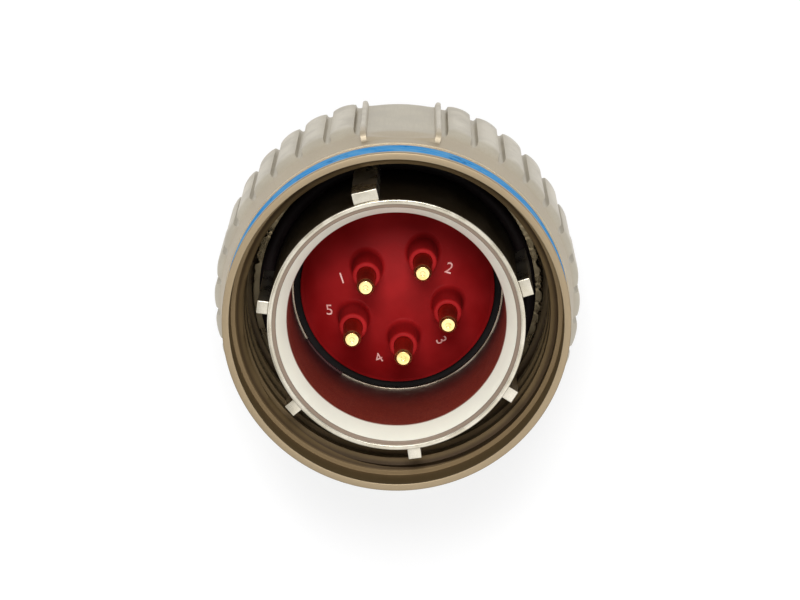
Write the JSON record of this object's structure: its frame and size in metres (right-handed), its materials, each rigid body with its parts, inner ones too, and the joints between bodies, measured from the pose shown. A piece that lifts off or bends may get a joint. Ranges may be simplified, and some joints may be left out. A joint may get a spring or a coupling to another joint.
{
  "type": "threaded circular connector plug",
  "caption": "Circular plug with a scalloped coupling nut on a keyed barrel, pin contacts in a sealed insert, and a threaded rear end.",
  "frame": {"origin": "centre of the rear end's plane, on the connector's axis", "axes": "+Z along the axis towards the mating face, +Y towards the coupling nut's marking flat"},
  "size_m": [0.0316, 0.0313, 0.0313],
  "materials": {
    "shell_nickel": "bright warm nickel plate",
    "nut_nickel": "satin tan-grey nickel plate",
    "band_paint": "blue paint",
    "washer_steel": "plain",
    "spring_steel": "plain",
    "seal_black": "matt",
    "ring_nickel": "bright",
    "seal_red": "satin silicone rubber",
    "insert_black": "matt",
    "grommet_red": "matt silicone rubber",
    "contact_gold": "gold plate",
    "clip_bronze": "plain"
  },
  "bodies": {
    "shell": {"plug_shell": "shell_nickel", "thrust_washer": "washer_steel", "wave_spring": "spring_steel", "snap_ring": "spring_steel", "barrel_o_ring": "seal_black", "insert_retaining_ring": "ring_nickel", "face_seal": "seal_red", "insert_body": "insert_black", "clip_disc": "insert_black", "rear_grommet": "grommet_red", "contact_1": "contact_gold", "contact_2": "contact_gold", "contact_3": "contact_gold", "contact_4": "contact_gold", "contact_5": "contact_gold", "retention_clip_1": "clip_bronze", "retention_clip_2": "clip_bronze", "retention_clip_3": "clip_bronze", "retention_clip_4": "clip_bronze", "retention_clip_5": "clip_bronze"},
    "nut": {"coupling_nut": "nut_nickel", "colour_band": "band_paint"}
  },
  "joints": [
    {"name": "coupling_turn", "type": "hinge", "parent": "shell", "child": "nut", "pos_m": [0, 0, 0.0126], "axis": [0, 0, 1], "continuous": true}
  ]
}
